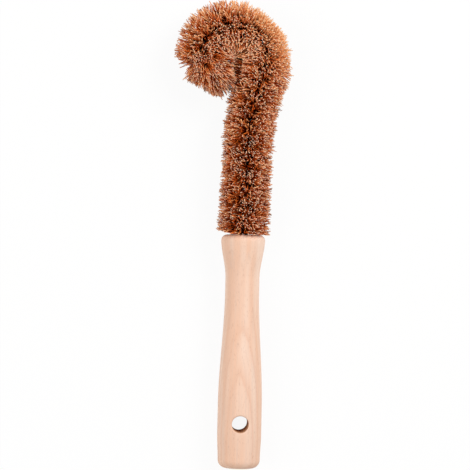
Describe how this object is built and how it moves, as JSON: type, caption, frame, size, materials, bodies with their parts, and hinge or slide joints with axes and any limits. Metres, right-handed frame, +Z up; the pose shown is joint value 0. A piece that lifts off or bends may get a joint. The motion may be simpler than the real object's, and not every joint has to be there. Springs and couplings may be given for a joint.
{
  "type": "bottle brush",
  "caption": "Bottle brush lying flat: turned beech handle with a hanging hole, twisted wire stem bent into a crook, and dense coconut fibre bristles all along the stem.",
  "frame": {"origin": "on the table, under the middle of the brush's outline as it lies there", "axes": "+Y along the handle towards the brush head, +X to the right seen from above with the head pointing away, the crook curling towards -X, +Z up"},
  "size_m": [0.0692, 0.2804, 0.0336],
  "materials": {
    "beech": "sanded, unfinished",
    "galvanised_wire": "satin",
    "coconut_fibre": "coarse natural fibre"
  },
  "bodies": {
    "root": {"handle": "beech", "stem_wire": "galvanised_wire", "bristle_section_01": "coconut_fibre", "bristle_section_02": "coconut_fibre", "bristle_section_03": "coconut_fibre", "bristle_section_04": "coconut_fibre", "bristle_section_05": "coconut_fibre", "bristle_section_06": "coconut_fibre", "bristle_section_07": "coconut_fibre", "bristle_section_08": "coconut_fibre", "bristle_section_09": "coconut_fibre", "bristle_section_10": "coconut_fibre", "bristle_section_11": "coconut_fibre", "bristle_section_12": "coconut_fibre"}
  },
  "joints": []
}
